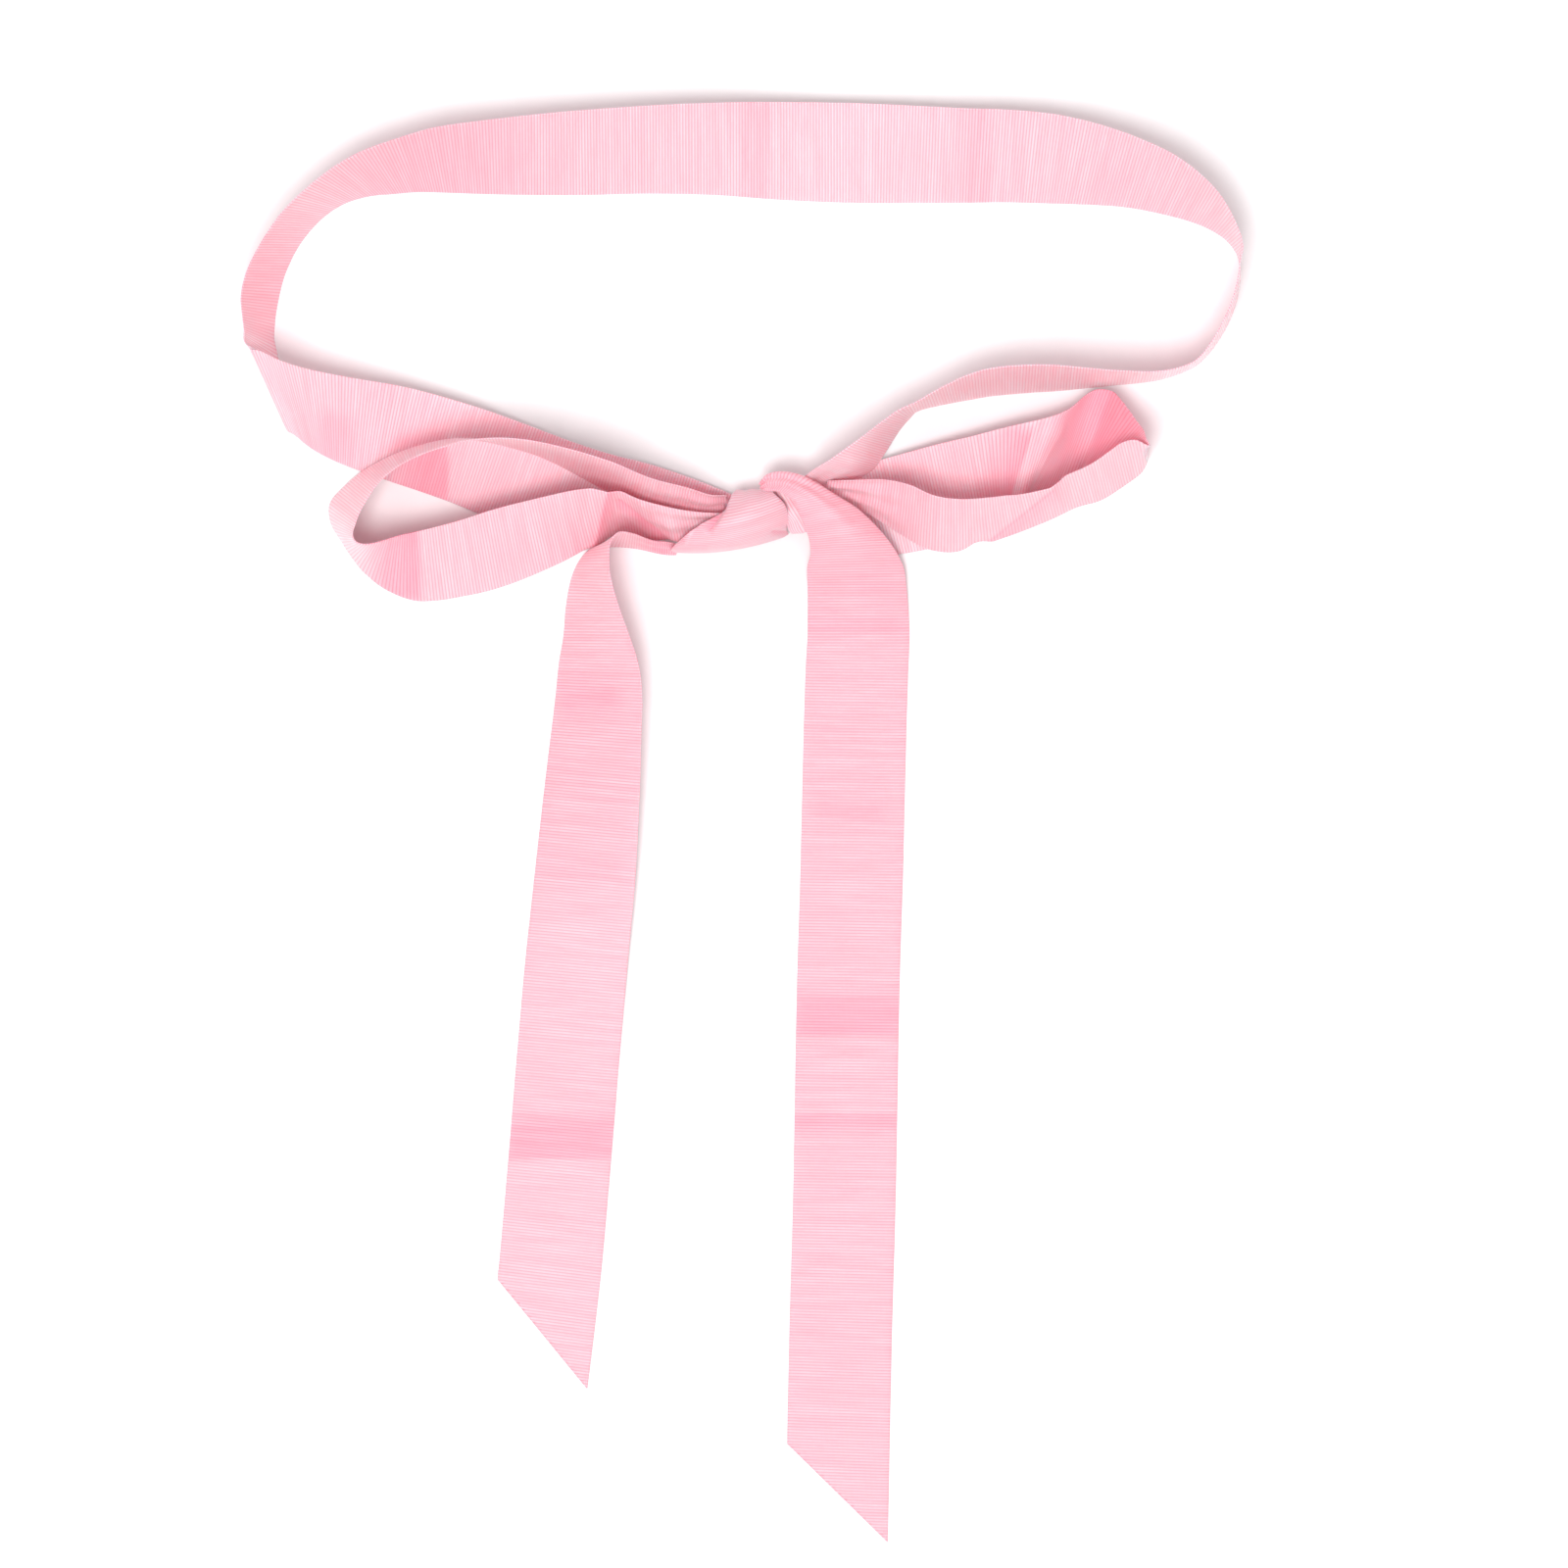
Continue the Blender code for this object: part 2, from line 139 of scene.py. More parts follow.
WAIST_LEFT = [
    (-175.8, 169.4, 132, 60, 2.4, 0, 1.0),
    (-172.4, 161.0, 116, 38, 8.4, 0, 1.0),
    (-173.9, 159.6, 114, 33, 12.6, 0, 1.0),
    (-170.8, 158.4, 111, 33, 14.6, 0, 1.0),
    (-165.0, 154.9, 105, 35, 10.6, 0, 1.0),
    (-157.5, 151.8, 97, 36, 5.4, 0, 1.0),
    (-145.4, 148.3, 86, 33, 1.6, 0, 1.0),
    (-125.8, 143.4, 76, 23, 0.2, 0, 1.0),
    (-104.0, 136.7, 72, 18, 0.0, 0, 1.0),
    (-88.4, 131.0, 70, 15, 0.0, 0, 1.0),
    (-70.2, 125.0, 70, 13, 0.0, 0, 0.95),
    (-54.6, 122.6, 70, 13, 0.0, 0, 0.81),
    (-38.5, 121.4, 71, 14, 0.0, 0, 0.66),
    (-22.8, 119.8, 71, 15, 0.4, 0, 0.48),
    (-9.2, 118.0, 72, 16, 0.6, 0, 0.31),
    (-4.4, 117.0, 72, 16, 0.6, 0, 0.25),
]

# %% [markdown]
# Each bow loop runs from the knot to its outer bend and comes back in front.

# %% The bow's loops
BOW_LEFT_BACK = [
    (-6.0, 117.4, 75, 46, 6.0, 0, 0.27),
    (-12.4, 116.7, 75, 56, 6.8, 0, 0.42),
    (-21.1, 118.6, 74, 65, 7.4, 0, 0.62),
    (-34.9, 121.6, 72, 71, 8.4, 0, 0.84),
    (-50.5, 128.4, 68, 76, 8.6, 0, 0.98),
    (-71.3, 136.6, 68, 83, 7.8, 0, 1.0),
    (-85.4, 139.9, 76, 87, 8.6, 0, 1.0),
    (-99.3, 141.0, 88, 92, 9.6, 0, 1.0),
    (-107.6, 140.0, 98, 95, 9.8, 0, 1.0),
    (-117.8, 137.2, 112, 97, 9.4, 0, 1.0),
    (-125.5, 134.2, 126, 99, 7.8, 0, 1.0),
    (-131.5, 130.9, 134, 101, 5.4, 0, 1.0),
    (-137.5, 126.6, 141, 104, 2.0, 0, 1.0),
    (-144.4, 118.6, 143, 109, 0.0, 0, 1.0),
    (-147.0, 113.8, 145, 111, 0.0, 0, 1.0),
]

BOW_LEFT_FRONT = [
    (-147.3, 109.0, 153, 107, 0.0, 0, 1.0),
    (-145.1, 104.3, 176, 100, 0.0, 0, 1.0),
    (-142.3, 101.2, 205, 100, 0.0, 0, 1.0),
    (-136.4, 98.0, 238, 109, 0.0, 0, 1.0),
    (-128.2, 95.5, 260, 122, 0.0, 0, 1.0),
    (-119.2, 94.6, 272, 131, 0.0, 0, 1.0),
    (-101.4, 98.0, 278, 135, 0.0, 0, 1.0),
    (-87.7, 102.1, 280, 136, 0.0, 0, 1.0),
    (-70.4, 107.9, 282, 130, 0.6, 0, 1.0),
    (-55.5, 113.2, 282, 121, 1.5, 0, 1.0),
    (-45.5, 114.8, 280, 118, 3.0, 0, 0.90),
    (-34.9, 111.8, 280, 121, 4.5, 0, 0.72),
    (-24.0, 110.0, 282, 126, 6.0, 0, 0.54),
    (-15.0, 110.4, 282, 124, 6.0, 0, 0.40),
    (-6.0, 111.0, 282, 122, 4.0, 0, 0.34),
]

BOW_RIGHT_BACK = [
    (28.0, 114.6, 104, 6, 0.0, 0, 0.50),
    (38.0, 114.8, 104, 7, 0.0, 0, 0.74),
    (48.0, 115.6, 104, 9, 0.0, 0, 0.90),
    (56.0, 117.0, 103, 10, 0.0, 0, 0.95),
    (76.0, 121.8, 102, 14, 0.0, 0, 1.0),
    (92.0, 126.2, 98, 20, 0.6, 0, 1.0),
    (105.5, 131.2, 76, 18, 4.5, 0, 1.0),
    (112.4, 136.3, 63, 20, 3.6, 0, 1.0),
    (124.3, 142.4, 70, 14, 2.0, 0, 1.0),
    (130.6, 142.6, 69, 17, 1.0, 0, 1.0),
    (133.2, 140.6, 62, 29, 0.6, 0, 1.0),
    (136.8, 137.4, 51, 42, 0.2, 0, 1.0),
    (140.0, 137.0, 46, 53, 0.0, 0, 1.0),
    (144.3, 137.2, 44, 70, 0.0, 0, 1.0),
    (148.0, 136.6, 60, 79, 0.0, 0, 1.0),
    (149.9, 136.2, 78, 82.5, 0.0, 0, 1.0),
]

BOW_RIGHT_FRONT = [
    (150.2, 136.2, -76, 97.4, 0.0, 0, 1.0),
    (146.9, 135.2, -71, 107.3, 0.0, 0, 1.0),
    (142.4, 133.0, -70, 111, 0.0, 0, 1.0),
    (138.4, 130.2, -71, 111, 0.0, 0, 1.0),
    (131.3, 125.6, -70, 110, 0.0, 0, 1.0),
    (122.9, 122.5, -68, 108, 0.0, 0, 1.0),
    (112.7, 118.4, -69, 108, 0.0, 0, 1.0),
    (101.4, 114.9, -74, 108, 0.0, 0, 1.0),
    (89.3, 112.4, -84, 111, 0.0, 0, 1.0),
    (80.2, 109.8, -88, 119, 0.0, 0, 1.0),
    (70.2, 110.9, -92, 121, 1.5, 0, 0.98),
    (61.4, 115.1, -95, 124, 4.5, 0, 0.86),
    (51.3, 119.3, -96, 129, 8.0, 0, 0.60),
    (40.7, 121.7, -97, 131, 9.0, 0, 0.37),
    (31.5, 122.6, -98, 132, 9.0, 0, 0.26),
]

# %% [markdown]
# The knot is one turn of the ribbon round the rest, tucked in at its right. The tails come out
# from under it and end in slanted cuts, each given as two points on the table.

# %% The knot and the tails
KNOT_WRAP = [
    (6.8, 112.0, 0, 0, 0.0, 0, 0.30),
    (6.4, 118.0, 2, 2, 0.4, -16, 0.30),
    (5.4, 122.0, 3, 2, 4.0, -34, 0.32),
    (4.6, 123.0, 4, 2, 9.0, -40, 0.34),
    (3.9, 122.1, 8, 2, 15.0, -44, 0.38),
    (3.5, 119.0, 14, 2, 18.6, -52, 0.52),
    (0.6, 113.6, 14, 3, 18.0, -56, 0.92),
    (-1.4, 109.8, 11, 1, 15.0, -50, 1.08),
    (-4.0, 105.4, 9, 1, 9.0, -36, 1.16),
    (-4.2, 103.6, 8, 0, 2.5, -24, 1.18),
]

KNOT_TUCK = [
    (14.9, 113.7, 121, 2, 11.2, -24, 0.42),
    (18.2, 115.2, 121, 2, 15.0, -24, 0.50),
    (21.2, 116.6, 121, 2, 15.2, -24, 0.52),
]

TAIL_LEFT = [
    (-24.0, 101.0, 90, 60, 0.0, 0, 0.20),
    (-32.0, 102.0, 84, 78, 0.0, 0, 0.52),
    (-40.0, 104.0, 76, 82, 0.0, 0, 0.86),
    (-46.5, 104.4, 48, 81, 0.0, 0, 1.0),
    (-51.5, 102.2, 12, 78, 0.0, 0, 1.0),
    (-53.9, 97.4, 0, 73, 0.0, 0, 1.0),
    (-55.1, 90.5, -4, 67, 0.0, 0, 1.0),
    (-54.7, 79.6, -2, 58, 0.0, 0, 1.0),
    (-53.3, 68.7, -1, 49, 0.0, 0, 1.0),
    (-52.5, 57.8, -2, 38, 0.0, 0, 1.0),
    (-52.5, 46.9, -3, 32, 0.0, 0, 1.0),
    (-53.3, 36.0, -4, 29, 0.0, 0, 1.0),
    (-54.9, 14.2, -5, 22, 0.0, 0, 1.0),
    (-57.6, -18.5, -5, 11, 0.0, 0, 1.0),
    (-60.9, -51.3, -5, 4, 0.0, 0, 1.0),
    (-63.8, -84.0, -5, 0, 0.0, 0, 1.0),
    (-66.5, -116.7, -5, 0, 0.0, 0, 1.0),
    (-69.3, -149.4, -6, 0, 0.0, 0, 1.0),
    (-71.4, -171.3, -7, 0, 0.0, 0, 1.0),
    (-77.6, -222.0, -8, 0, 0.0, 0, 1.0),
]

TAIL_RIGHT = [
    (7.4, 123.8, 98, 22, 15.6, -20, 0.10),
    (9.6, 125.3, 90, 20, 18.0, -24, 0.17),
    (12.9, 126.0, 74, 16, 19.6, -30, 0.20),
    (18.2, 125.2, 49, 6, 21.8, -50, 0.25),
    (25.9, 120.8, 14, -4, 22.0, -60, 0.40),
    (32.8, 114.0, 9, -8, 18.0, -70, 0.64),
    (38.5, 106.5, 4, -8, 13.0, -70, 0.81),
    (41.4, 100.3, 2, -6, 9.0, -62, 0.91),
    (42.4, 94.2, 1, -3, 6.0, -50, 1.0),
    (43.1, 86.9, 0, 0, 3.0, -40, 1.0),
    (43.5, 77.8, 0, 0, 0.6, -28, 1.0),
    (43.6, 68.7, 0, 0, 0.0, -14, 1.0),
    (43.1, 57.8, -1, 0, 0.0, -4, 1.0),
    (42.4, 36.0, -1, 0, 0.0, 0, 1.0),
    (41.1, -18.5, -1, 0, 0.0, 0, 1.0),
    (39.8, -62.2, -1, 0, 0.0, 0, 1.0),
    (38.4, -138.5, -1, 0, 0.0, 0, 1.0),
    (37.0, -190.0, -2, 0, 0.0, 0, 1.0),
    (35.2, -280.0, -2, 0, 0.0, 0, 1.0),
]

CUT_LEFT = ((-89.8, -170.2), (-57.1, -210.2))
CUT_RIGHT = ((16.0, -229.4), (54.2, -266.9))

# %% [markdown]
# A rib that leans over past 90 degrees can also be told by the opposite heading and the rest of
# its tilt. Two tables are told in one way before they are joined, so nothing spins between them.

# %% Ribs told by the opposite heading
def turned(rows, half_turn=180):
    return [(x, y, across + half_turn, 180 - tilt, lift, -fold, gather)
            for x, y, across, tilt, lift, fold, gather in rows]


# %% [markdown]
# Between the rows the values run smoothly, by a cubic curve over the length of the route. The
# slope at a row comes from its two neighbours, so a long step beside a short one does no harm.

# %% Smooth values along the ribbon
def smooth(lengths, values, where):
    slopes = np.empty(len(values))
    slopes[1:-1] = (values[2:] - values[:-2]) / (lengths[2:] - lengths[:-2])
    slopes[0] = (values[1] - values[0]) / (lengths[1] - lengths[0])
    slopes[-1] = (values[-1] - values[-2]) / (lengths[-1] - lengths[-2])
    index = np.clip(np.searchsorted(lengths, where) - 1, 0, len(values) - 2)
    span = lengths[index + 1] - lengths[index]
    share = (where - lengths[index]) / span
    cube, square = share ** 3, share ** 2
    return ((2 * cube - 3 * square + 1) * values[index]
            + (cube - 2 * square + share) * slopes[index] * span
            + (3 * square - 2 * cube) * values[index + 1]
            + (cube - square) * slopes[index + 1] * span)


# %% [markdown]
# Across the ribbon, the points are close together at the woven edges and evenly spread between
# them, in as many strips as a piece needs. A fold bends the middle half of the width evenly, so it
# is a soft roll and not a sharp line.

# %% Points across one rib
EDGE_POINTS = np.array([0.0, 0.35, 0.7, 1.0])


def across_points(strips):
    inner = np.linspace(SELVEDGE, RIBBON_WIDTH - SELVEDGE, strips + 1)[1:-1]
    return np.concatenate([EDGE_POINTS, inner, RIBBON_WIDTH - EDGE_POINTS[::-1]])


def rib_points(values, across):
    """Where each point across each rib lies: an array of ribs by points by x, y, z."""
    middle = (across[1:] + across[:-1]) / 2 / RIBBON_WIDTH - 0.5
    turn = np.clip(middle * 2, -0.5, 0.5)[None, :] * values["fold"][:, None]
    angle = np.radians(values["tilt"][:, None] + turn)
    width = np.diff(across)[None, :] * values["gather"][:, None]
    start = np.zeros((len(angle), 1))
    out = np.hstack([start, np.cumsum(np.cos(angle) * width, axis=1)])
    up = np.hstack([start, np.cumsum(np.sin(angle) * width, axis=1)])
    out = out - (out[:, :1] + out[:, -1:]) / 2
    heading = np.radians(values["across"])[:, None]
    return np.stack([values["x"][:, None] - ORIGIN[0] + out * np.cos(heading),
                     values["y"][:, None] - ORIGIN[1] + out * np.sin(heading),
                     values["lift"][:, None] + CLOTH / 2 + up - up.min(axis=1, keepdims=True)],
                    axis=2)


SHORTEST_STEP = 1.0         # rows that turn on one spot still take this much ribbon, in mm


def route_of(rows):
    """The rows as columns, and how far along the ribbon each row lies, by its middle's way."""
    columns = {name: np.array(column, float) for name, column in zip(COLUMNS, zip(*rows))}
    ends = rib_points(columns, across_points(4))[:, [0, -1], :]
    steps = np.linalg.norm(np.diff(ends.mean(axis=1), axis=0), axis=1)
    return columns, np.concatenate([[0.0], np.cumsum(np.maximum(steps, SHORTEST_STEP))])


print("right tail's route: %.0f mm" % route_of(TAIL_RIGHT)[1][-1])

# %% [markdown]
# Three small things make it cloth. The ribs stand up as rounded cords. Where the knot gathers the
# ribbon, pleats run along it. And nothing lies perfectly flat, so the surface waves a little.

# %% Ribs, pleats and waves
CORD_ROUNDNESS = 0.7        # a power below 1 makes a cord rounder than a plain wave
SELVEDGE_RELIEF = 0.25      # what is left of the ribs at the woven edge
PLEAT_DEPTH = 0.75          # where the ribbon is gathered to nothing
PLEATS_ACROSS = 2.5
MOST_GATHERED = 0.7         # the pleats grow no deeper beyond this
PLEAT_WANDER, WANDER_LENGTH = 0.5, 9.0
LONG_WAVE, LONG_LENGTH, LONG_TURN = 0.16, 17.0, 2.2
SHORT_WAVE, SHORT_LENGTH, SHORT_TURN = 0.05, 6.1, 3.1


def rib_relief(way, across):
    """0 between two ribs and 1 on top of a rib, woven flat at the edges."""
    cord = np.abs(np.sin(np.pi * way / RIB_PITCH)) ** CORD_ROUNDNESS
    edge = np.minimum(across, RIBBON_WIDTH - across)
    ribbed = np.clip(edge / SELVEDGE, SELVEDGE_RELIEF, 1.0)
    return cord[:, None] * ribbed[None, :]


def pleats(way, gather, share, depth):
    wander = PLEAT_WANDER * np.sin(way / WANDER_LENGTH)[:, None]
    gathered = np.clip(1.0 - gather, 0.0, MOST_GATHERED)[:, None]
    return depth * gathered * np.sin(2 * np.pi * PLEATS_ACROSS * share + wander)


def waves(way, share, seed):
    """A long and a short wave, whose tops wander across the ribbon. The seed moves them on."""
    long_wave = np.sin(way / LONG_LENGTH + seed)[:, None] * np.cos(LONG_TURN * share + seed)
    short_wave = (np.sin(way / SHORT_LENGTH + 2 * seed)[:, None]
                  * np.sin(SHORT_TURN * share + seed))
    return LONG_WAVE * long_wave + SHORT_WAVE * short_wave


flat_rib = rib_relief(np.linspace(0.0, RIB_PITCH, 5), across_points(4))
print("a rib rises %.2f mm, %.2f mm at the woven edge"
      % (RIB_HEIGHT * flat_rib.max(), RIB_HEIGHT * flat_rib[:, 0].max()))

# %% [markdown]
# The ribbon has lain folded in its packet. Where it was pressed, its ribs are flatter and the
# cloth looks duller and pinker, in patches that fade in slowly and end at a faint crease. The same
# table also paints shade into the colour, in patches of the same kind: the darker left end of the
# waist's back, the shadow inside the left loop, the inside of the left tail's arch and the right
# bow's outer end. A row gives a patch's middle, the heading in which it ends, half its length and
# half its width, how strong it is, and how soft its end is, as a share of its length. A second
# table tints the tails, the bow and the knot darker and pinker all over than the waist. This is
# painted light: the waist stays brighter, as its sheen makes it, and the bow and the knot get
# painted shade.

# %% Press marks and painted shade
MARK_COLUMNS = ("x", "y", "heading", "long", "wide", "strength", "soft")
PRESS_MARKS_AND_SHADE = {
    "waist_back": [(4.0, 247.0, 0, 7.0, 40.0, 0.3, 0.1), (85.0, 245.0, 0, 9.0, 40.0, 0.3, 0.15),
                   # The two rows above are press marks. These two are painted shade: the back
                   # darkens towards its left end, where the band leans away from the light.
                   (-120.0, 240.0, 180, 75.0, 60.0, 0.55, 0.6),
                   (-175.0, 200.0, -90, 50.0, 30.0, 0.7, 0.5)],
    # The first is a soft darker patch; the second is painted shadow inside the left loop, under
    # the bow.
    "waist_left": [(-150.0, 142.0, 0, 14.0, 12.0, 0.45, 0.6),
                   (-121.0, 131.0, 0, 14.0, 16.0, 0.9, 0.1)],
    # A darker, pinker patch over the loop's left end, ending at a sharp line.
    "bow_left_front": [(-131.0, 96.0, 0, 14.0, 20.0, 1.0, 0.1)],
    # The loop's outer end: its ribs are pressed flatter, and its darker colour is partly painted
    # shade under the front band.
    "bow_right_back": [(130.0, 140.0, 0, 26.0, 40.0, 1.0, 0.2)],
    "tail_left": [(-56.0, 47.0, -90, 13.0, 15.0, 0.75, 0.5),
                  (-58.0, -17.0, -90, 10.0, 21.0, 0.45, 0.5),
                  (-67.0, -113.0, -90, 13.0, 30.0, 1.0, 0.08),
                  # The rows above are press marks. This one is painted shade inside the tail's
                  # arch.
                  (-33.0, 102.5, 0, 9.0, 3.5, 1.0, 0.3)],
    # The second patch on this line darkens the cloth near the top of the tail; the others are
    # press marks.
    "tail_right": [(40.0, 71.0, 90, 7.0, 30.0, 0.6, 0.15), (50.0, 88.0, -80, 14.0, 9.0, 0.5, 0.5),
                   (41.0, 5.0, -90, 11.0, 20.0, 0.55, 0.5),
                   (40.0, -68.0, -90, 12.0, 30.0, 1.0, 0.08),
                   (38.0, -113.0, 90, 6.0, 30.0, 0.85, 0.15),
                   (36.0, -137.0, 90, 3.0, 12.0, 0.5, 0.5)],
}
# Painted light: a darker, pinker tint over each whole piece, so the waist stays brightest, as its
# sheen makes it, and the bow and the knot look shaded.
PAINTED_PIECE_SHADE = {"tail_left": 0.6, "tail_right": 0.7, "bow_left_front": 0.2, "bow_right_front": 0.3,
        "bow_left_back": 0.3, "knot_wrap": 0.3}
FADE_IN = 1.2               # in half lengths of the patch
SIDE_FADE = 0.5             # in half widths of the patch
print("press marks:", sum(len(rows) for rows in PRESS_MARKS_AND_SHADE.values()))


def press_and_shade_patch(node, x, y):
    """How strongly press marks and patches of painted shade lie on each point, from 0 to 1."""
    pressed_and_shaded = np.zeros(x.shape)
    for row in PRESS_MARKS_AND_SHADE.get(node, []):
        mark = dict(zip(MARK_COLUMNS, row))
        turn = math.radians(mark["heading"])
        east, north = x - mark["x"], y - mark["y"]
        ahead = (east * math.cos(turn) + north * math.sin(turn)) / mark["long"]
        aside = np.abs(north * math.cos(turn) - east * math.sin(turn)) / mark["wide"]
        rise = np.clip((ahead + 1.0) / FADE_IN, 0.0, 1.0)
        fall = np.clip((1.0 - ahead) / (2 * mark["soft"]), 0.0, 1.0)
        sides = np.clip((1.0 - aside) / SIDE_FADE, 0.0, 1.0)
        here = [part * part * (3 - 2 * part) for part in (rise, fall, sides)]
        pressed_and_shaded = np.maximum(pressed_and_shaded, mark["strength"] * here[0] * here[1] * here[2])
    return pressed_and_shaded


# %% [markdown]
# A few creases run slantwise over the cloth, where it was bent by the tying. A row gives the two
# ends of a crease on the table, how far it stands up (or down, when negative), how far its slope
# reaches to the left and to the right, looking from the first end to the second, and the tone:
# how much painted shade darkens and pinkens the cloth on its right, as the shade of that flank. A
# tone above 1 holds its full strength for a while before it fades. The painted shade starts 1 mm
# to the left of the line. A row with no height is only painted shade.

# %% Creases
CREASE_COLUMNS = ("x0", "y0", "x1", "y1", "height", "left", "right", "tone")
CREASES = {
    "bow_right_front": [(90.0, 105.0, 116.5, 126.0, 2.6, 7.0, 12.0, 1.3)],
    "bow_right_back": [(102.0, 118.0, 118.5, 147.0, 2.0, 6.0, 9.0, 0.0),
                       (107.7, 145.0, 99.0, 118.5, 0.0, 3.0, 14.0, 0.9)],
    "bow_left_front": [(-55.0, 102.0, -48.0, 126.0, 1.6, 6.0, 5.0, 0.9),
                       (-46.0, 119.5, -25.0, 102.5, -1.4, 4.0, 2.5, 1.0)],
    "knot_wrap": [(-15.0, 114.5, -21.0, 103.5, 1.2, 1.5, 3.0, 0.5),
                  (-5.5, 117.5, -12.0, 107.5, -1.6, 2.0, 3.5, 1.4),
                  (11.5, 107.6, 19.5, 107.4, -0.7, 1.5, 1.5, 1.0)],
}
RUN_OUT = 0.1               # how far a crease runs on past its ends, as a share of its length
END_STEEPNESS = 5           # how soon it rises from there
print("creases:", sum(len(rows) for rows in CREASES.values()))


def creases(node, x, y):
    """How high the creases lift each point, and how much painted shade they lay on it."""
    height, tone = np.zeros(x.shape), np.zeros(x.shape)
    for row in CREASES.get(node, []):
        crease = dict(zip(CREASE_COLUMNS, row))
        east, north = crease["x1"] - crease["x0"], crease["y1"] - crease["y0"]
        length = math.hypot(east, north)
        ahead = ((x - crease["x0"]) * east + (y - crease["y0"]) * north) / length ** 2
        aside = ((y - crease["y0"]) * east - (x - crease["x0"]) * north) / length
        ends = np.minimum(ahead + RUN_OUT, 1.0 + RUN_OUT - ahead)
        ends = np.clip(END_STEEPNESS * ends, 0.0, 1.0)
        slope = 1.0 - np.where(aside > 0, aside / crease["left"], -aside / crease["right"])
        slope = ends * np.clip(slope, 0.0, 1.0)
        height += crease["height"] * slope
        near = np.clip(1.0 - aside, 0.0, 1.0)
        tone = np.maximum(tone, crease["tone"] * slope * near)
    return height, tone


# %% [markdown]
# Now the grid of points becomes a mesh. Two attributes travel with it. One holds how far across
# and how far along the ribbon a point lies, in millimetres, and how strongly press marks and
# painted shade lie on it. The other holds the painted shade of its whole piece. The material
# reads them, so its pattern follows each bend. The knot's wrap is pulled tight in its middle, so
# its ribs sag there in a curve, which is called its smile here.

# %% A length of ribbon
def grid_mesh(name, points, cut_mm, painted_piece_shade):
    rows, width = points.shape[:2]
    first = (np.arange(rows - 1)[:, None] * width + np.arange(width - 1)).ravel()
    faces = np.stack([first, first + width, first + width + 1, first + 1], axis=1)
    mesh = bpy.data.meshes.new(name)
    mesh.from_pydata((points.reshape(-1, 3) * MM).tolist(), [], faces.tolist())
    mesh.attributes.new("ribbon_mm", "FLOAT_VECTOR", "POINT").data.foreach_set(
        "vector", cut_mm.reshape(-1, 3).astype(np.float32).ravel())
    mesh.attributes.new("painted_piece_shade", "FLOAT", "POINT").data.foreach_set(
        "value", painted_piece_shade.astype(np.float32).ravel())
    mesh.shade_smooth()
    return mesh


def normals_of(points):
    along = np.gradient(points, axis=0)
    over = np.gradient(points, axis=1)
    normal = np.cross(along, over)
    return normal / np.linalg.norm(normal, axis=2, keepdims=True)


# The marks include the patches of painted shade and the creases' painted shade; all of them
# flatten the ribs.
FLATTENED = 0.4             # how much of a rib's height a press mark takes


def stretch_points(stretches, seed, strips, smile, pleat_depth):
    """The cloth's points for some stretches of the tables, in the order of the ribbon.

    A crease's height is told from the table, so it is turned round where the normals point down.
    """
    rows = sum(stretches.values(), [])
    columns, lengths = route_of(rows)
    count = int(lengths[-1] / RIB_PITCH * POINTS_PER_RIB)
    way = np.linspace(0.0, lengths[-1], count + 1)
    values = {key: smooth(lengths, column, way) for key, column in columns.items()}
    values["lift"] = np.maximum(values["lift"], 0.0)
    across = across_points(strips)
    share = (across / RIBBON_WIDTH)[None, :]
    points = rib_points(values, across)
    points[:, :, 1] -= smile * values["gather"][:, None] ** 2 * (1 - (2 * share - 1) ** 2)
    normals = normals_of(points)
    x, y = points[:, :, 0] + ORIGIN[0], points[:, :, 1] + ORIGIN[1]
    marks, creased, painted_piece_shade = np.zeros(x.shape), np.zeros(x.shape), np.zeros(x.shape)
    first = 0
    for node, part in stretches.items():
        last = first + len(part) - 1
        here = (way >= lengths[first]) & (way <= lengths[last])
        lifted, tone = creases(node, x[here], y[here])
        # The creases' painted shade joins the marks here, so it gets the same tint.
        marks[here] = np.maximum(press_and_shade_patch(node, x[here], y[here]), tone)
        # Painted shade for the whole piece, less where the marks already tint it.
        painted_piece_shade[here] = PAINTED_PIECE_SHADE.get(node, 0.0) * (1 - np.minimum(marks[here], 1.0))
        creased[here] = lifted * np.sign(normals[here][:, :, 2].mean())
        first = last + 1
    height = RIB_HEIGHT * rib_relief(way, across) * (1 - FLATTENED * marks) + creased
    height += pleats(way, values["gather"], share, pleat_depth) + waves(way, share, seed)
    points = points + normals * height[:, :, None]
    points[:, :, 2] = np.maximum(points[:, :, 2], CLOTH / 2)
    cut_mm = np.stack(np.broadcast_arrays(across[None, :], way[:, None], marks), axis=2)
    return points, cut_mm, painted_piece_shade, lengths[-1]


# %% [markdown]
# The real ribbon is polyester grosgrain, woven and heat-set: a matte cloth whose ribs catch the
# light along their tops, so it shines a little across the light and never like a mirror. Its
# colours are given as sRGB hex values, and turned to linear light.

# %% Colours and one helper for material nodes
def linear(hex_colour):
    parts = [int(hex_colour[i:i + 2], 16) / 255 for i in (1, 3, 5)]
    return tuple(p / 12.92 if p <= 0.04045 else ((p + 0.055) / 1.055) ** 2.4 for p in parts)


def add_node(tree, kind, settings=None, **links):
    """A node of this kind, with its settings, and with values or sockets for its inputs."""
    node = tree.nodes.new(kind)
    for key, value in (settings or {}).items():
        setattr(node, key, value)
    for key, value in links.items():
        socket = node.inputs[int(key[1:])] if key[0] == "i" and key[1:].isdigit() \
            else node.inputs[key.replace("_", " ")]
        if isinstance(value, bpy.types.NodeSocket):
            tree.links.new(value, socket)
        else:
            socket.default_value = value
    return node


